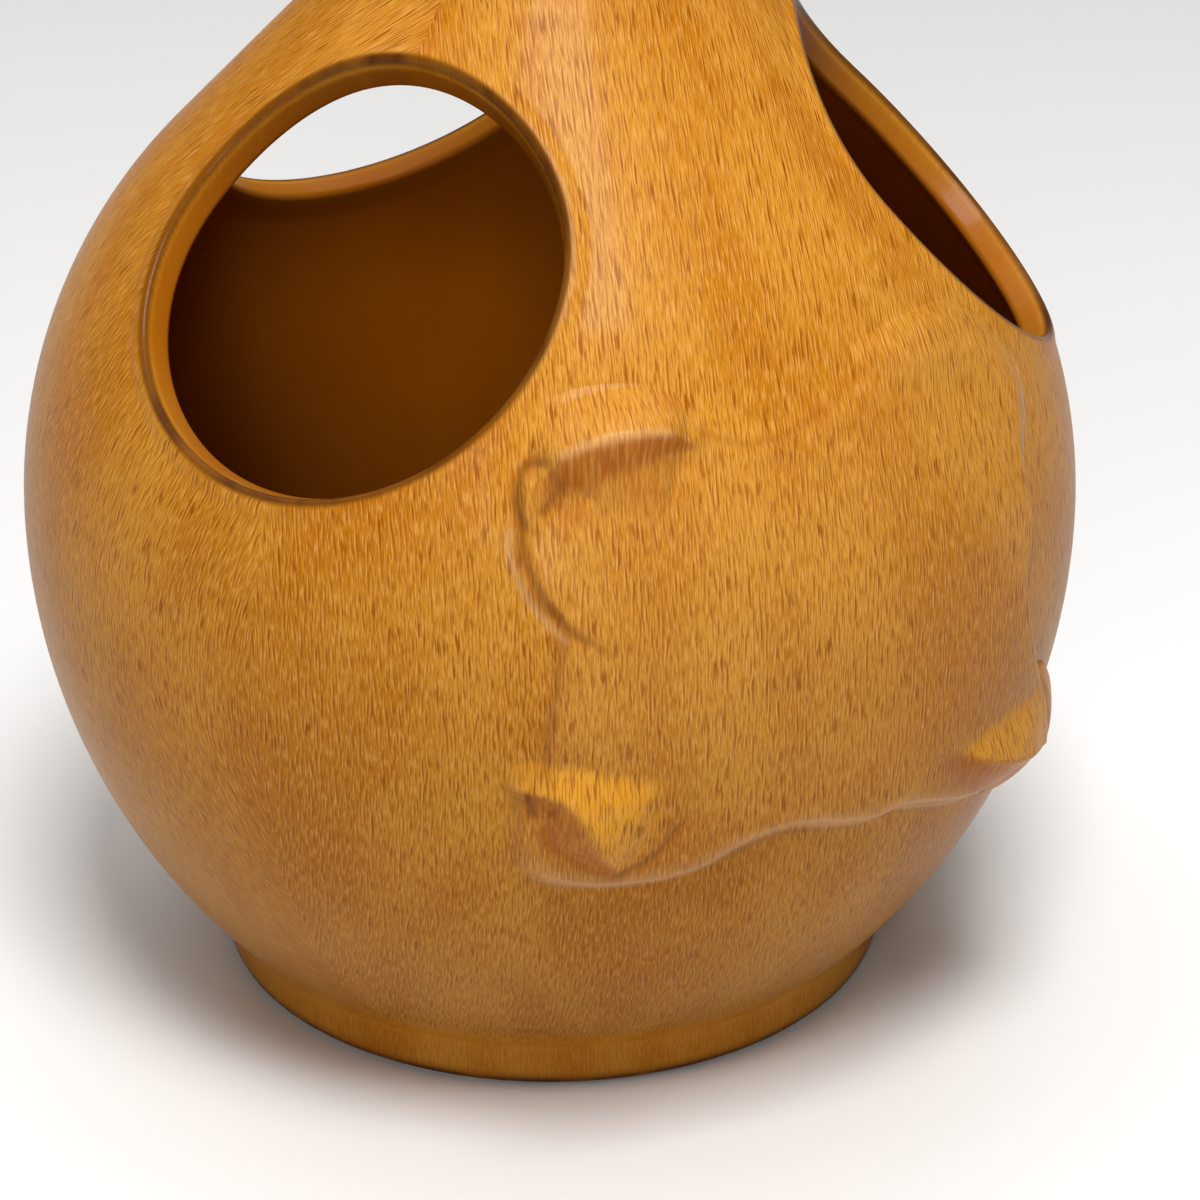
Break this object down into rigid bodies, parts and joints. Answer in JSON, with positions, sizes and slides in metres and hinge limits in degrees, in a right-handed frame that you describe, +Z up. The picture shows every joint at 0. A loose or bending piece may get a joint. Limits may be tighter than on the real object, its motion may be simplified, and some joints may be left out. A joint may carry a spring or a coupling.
{
  "type": "utensil crock",
  "caption": "Round glazed ceramic crock with a narrow flared neck, large round windows cut in its shoulder for utensils, and a blank parchment scroll in relief on the belly.",
  "frame": {"origin": "centre of the foot's underside, on the table", "axes": "+Z up along the pot's axis, -Y towards the scroll on the belly, +X to the right as the scroll is seen"},
  "size_m": [0.18, 0.1824, 0.2136],
  "materials": {
    "honey_glaze": "glossy honey glaze broken by fine upright brown flecks",
    "rim_glaze": "glossy glaze running thin and brown over an edge",
    "foot_glaze": "glossy glaze wiped from the standing face, where the clay is bare"
  },
  "bodies": {
    "root": {"belly_bowl": "honey_glaze", "shoulder_dome": "honey_glaze", "neck_collar": "honey_glaze", "mouth_lip": "rim_glaze", "foot_ring": "foot_glaze", "window_lip_left": "rim_glaze", "window_lip_right": "rim_glaze", "window_lip_rear": "rim_glaze", "scroll_sheet": "honey_glaze", "scroll_curl_upper_left": "honey_glaze", "scroll_curl_upper_right": "honey_glaze", "scroll_curl_lower_left": "honey_glaze", "scroll_curl_lower_right": "honey_glaze"}
  },
  "joints": []
}
